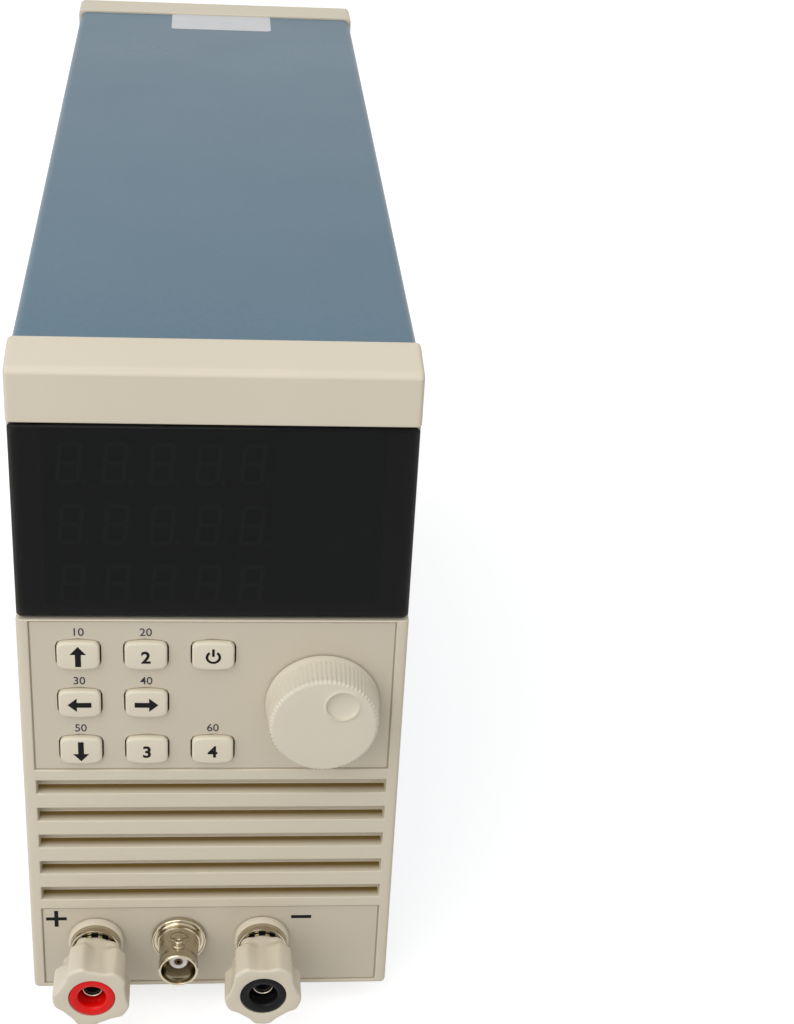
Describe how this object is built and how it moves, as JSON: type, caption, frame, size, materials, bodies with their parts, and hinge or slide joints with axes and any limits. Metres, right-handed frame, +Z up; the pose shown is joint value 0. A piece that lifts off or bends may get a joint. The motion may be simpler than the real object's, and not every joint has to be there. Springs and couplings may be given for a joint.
{
  "type": "dc electronic load",
  "caption": "Tall narrow bench DC electronic load: windowed front with keys, knob, louvres, binding posts and coax socket, steel cover, rear fan.",
  "frame": {"origin": "middle of the footprint on the bench, below the centre of the overall box", "axes": "+X to the right seen from the front, +Y from the front to the rear, +Z up"},
  "size_m": [0.088, 0.303, 0.178],
  "materials": {
    "beige_abs": "fine matt moulding texture",
    "silver_beige_plate": "silver-beige satin print",
    "smoked_acrylic": "polished smoked sheet",
    "blue_paint": "satin blue powder coat",
    "zinc_steel": "dull zinc plate",
    "nickel": "bright nickel plate",
    "gold": "gold plate",
    "red_plastic": "smooth red moulding",
    "black_plastic": "satin black moulding",
    "white_insulator": "natural white",
    "black_rubber": "dull black",
    "green_board": "green solder mask",
    "aluminium": "as extruded",
    "copper": "bare copper",
    "varnished_core": "brown varnish"
  },
  "bodies": {
    "case": {"front_bezel": "beige_abs", "display_window": "smoked_acrylic", "control_plate": "silver_beige_plate", "terminal_plate": "silver_beige_plate", "front_board": "green_board", "display_upper": "black_plastic", "display_middle": "black_plastic", "display_lower": "black_plastic", "encoder": "black_plastic", "encoder_nut": "nickel", "coax_shell": "nickel", "coax_insulator": "white_insulator", "coax_contact": "gold", "coax_nut": "nickel", "case_cover": "blue_paint", "bottom_pan": "blue_paint", "rear_bezel": "beige_abs", "rear_panel": "zinc_steel", "foot_front_left": "black_rubber", "foot_front_right": "black_rubber", "foot_rear_left": "black_rubber", "foot_rear_right": "black_rubber", "fan_frame": "black_plastic", "finger_guard": "zinc_steel", "mains_inlet": "black_plastic", "switch_housing": "black_plastic", "selector_housing": "black_plastic", "serial_connector": "zinc_steel", "heat_tunnel": "aluminium", "power_board": "green_board", "control_board": "green_board", "transformer": "varnished_core", "positive_bus_bar": "copper", "negative_bus_bar": "copper", "positive_washer": "beige_abs", "positive_stud": "nickel", "positive_nut": "nickel", "negative_washer": "beige_abs", "negative_stud": "nickel", "negative_nut": "nickel"},
    "key_up": {"key_up": "beige_abs"},
    "key_mode": {"key_mode": "beige_abs"},
    "key_on": {"key_on": "beige_abs"},
    "key_left": {"key_left": "beige_abs"},
    "key_right": {"key_right": "beige_abs"},
    "key_down": {"key_down": "beige_abs"},
    "key_shift": {"key_shift": "beige_abs"},
    "key_set": {"key_set": "beige_abs"},
    "control_knob": {"control_knob": "beige_abs", "encoder_shaft": "nickel"},
    "positive_insert": {"positive_insert": "red_plastic"},
    "positive_cap": {"positive_cap": "beige_abs"},
    "negative_insert": {"negative_insert": "black_plastic"},
    "negative_cap": {"negative_cap": "beige_abs"},
    "fan_rotor": {"fan_rotor": "black_plastic"},
    "switch_rocker": {"switch_rocker": "black_plastic"},
    "selector_slider": {"selector_slider": "red_plastic"},
    "fuse_drawer": {"fuse_drawer": "black_plastic"}
  },
  "joints": [
    {"name": "key_up_press", "type": "slide", "parent": "case", "child": "key_up", "axis": [0, 1, 0], "range_m": [0, 0.0006], "stiffness_N_per_m": 800},
    {"name": "key_mode_press", "type": "slide", "parent": "case", "child": "key_mode", "axis": [0, 1, 0], "range_m": [0, 0.0006], "stiffness_N_per_m": 800},
    {"name": "key_on_press", "type": "slide", "parent": "case", "child": "key_on", "axis": [0, 1, 0], "range_m": [0, 0.0006], "stiffness_N_per_m": 800},
    {"name": "key_left_press", "type": "slide", "parent": "case", "child": "key_left", "axis": [0, 1, 0], "range_m": [0, 0.0006], "stiffness_N_per_m": 800},
    {"name": "key_right_press", "type": "slide", "parent": "case", "child": "key_right", "axis": [0, 1, 0], "range_m": [0, 0.0006], "stiffness_N_per_m": 800},
    {"name": "key_down_press", "type": "slide", "parent": "case", "child": "key_down", "axis": [0, 1, 0], "range_m": [0, 0.0006], "stiffness_N_per_m": 800},
    {"name": "key_shift_press", "type": "slide", "parent": "case", "child": "key_shift", "axis": [0, 1, 0], "range_m": [0, 0.0006], "stiffness_N_per_m": 800},
    {"name": "key_set_press", "type": "slide", "parent": "case", "child": "key_set", "axis": [0, 1, 0], "range_m": [0, 0.0006], "stiffness_N_per_m": 800},
    {"name": "knob_turn", "type": "hinge", "parent": "case", "child": "control_knob", "pos_m": [0.0251, -0.1305, 0.0923], "axis": [0, -1, 0], "continuous": true},
    {"name": "positive_cap_travel", "type": "slide", "parent": "case", "child": "positive_insert", "axis": [0, -1, 0], "range_m": [0, 0.005]},
    {"name": "positive_cap_turn", "type": "hinge", "parent": "positive_insert", "child": "positive_cap", "pos_m": [-0.0283, -0.1305, 0.0216], "axis": [0, -1, 0], "range_deg": [0, 1800]},
    {"name": "negative_cap_travel", "type": "slide", "parent": "case", "child": "negative_insert", "axis": [0, -1, 0], "range_m": [0, 0.005]},
    {"name": "negative_cap_turn", "type": "hinge", "parent": "negative_insert", "child": "negative_cap", "pos_m": [0.0124, -0.1305, 0.0216], "axis": [0, -1, 0], "range_deg": [0, 1800]},
    {"name": "fan_spin", "type": "hinge", "parent": "case", "child": "fan_rotor", "pos_m": [0, 0.1452, 0.056], "axis": [0, 1, 0], "continuous": true},
    {"name": "switch_rock", "type": "hinge", "parent": "case", "child": "switch_rocker", "pos_m": [0.0203, 0.1457, 0.13], "axis": [1, 0, 0], "range_deg": [0, 18]},
    {"name": "selector_slide", "type": "slide", "parent": "case", "child": "selector_slider", "axis": [1, 0, 0], "range_m": [0, 0.0044]},
    {"name": "drawer_pull", "type": "slide", "parent": "case", "child": "fuse_drawer", "axis": [0, 1, 0], "range_m": [0, 0.012]}
  ],
  "couplings": [
    {"joint": "positive_cap_turn", "follows": "positive_cap_travel", "rad_per_m": 6283.2},
    {"joint": "negative_cap_turn", "follows": "negative_cap_travel", "rad_per_m": 6283.2}
  ]
}
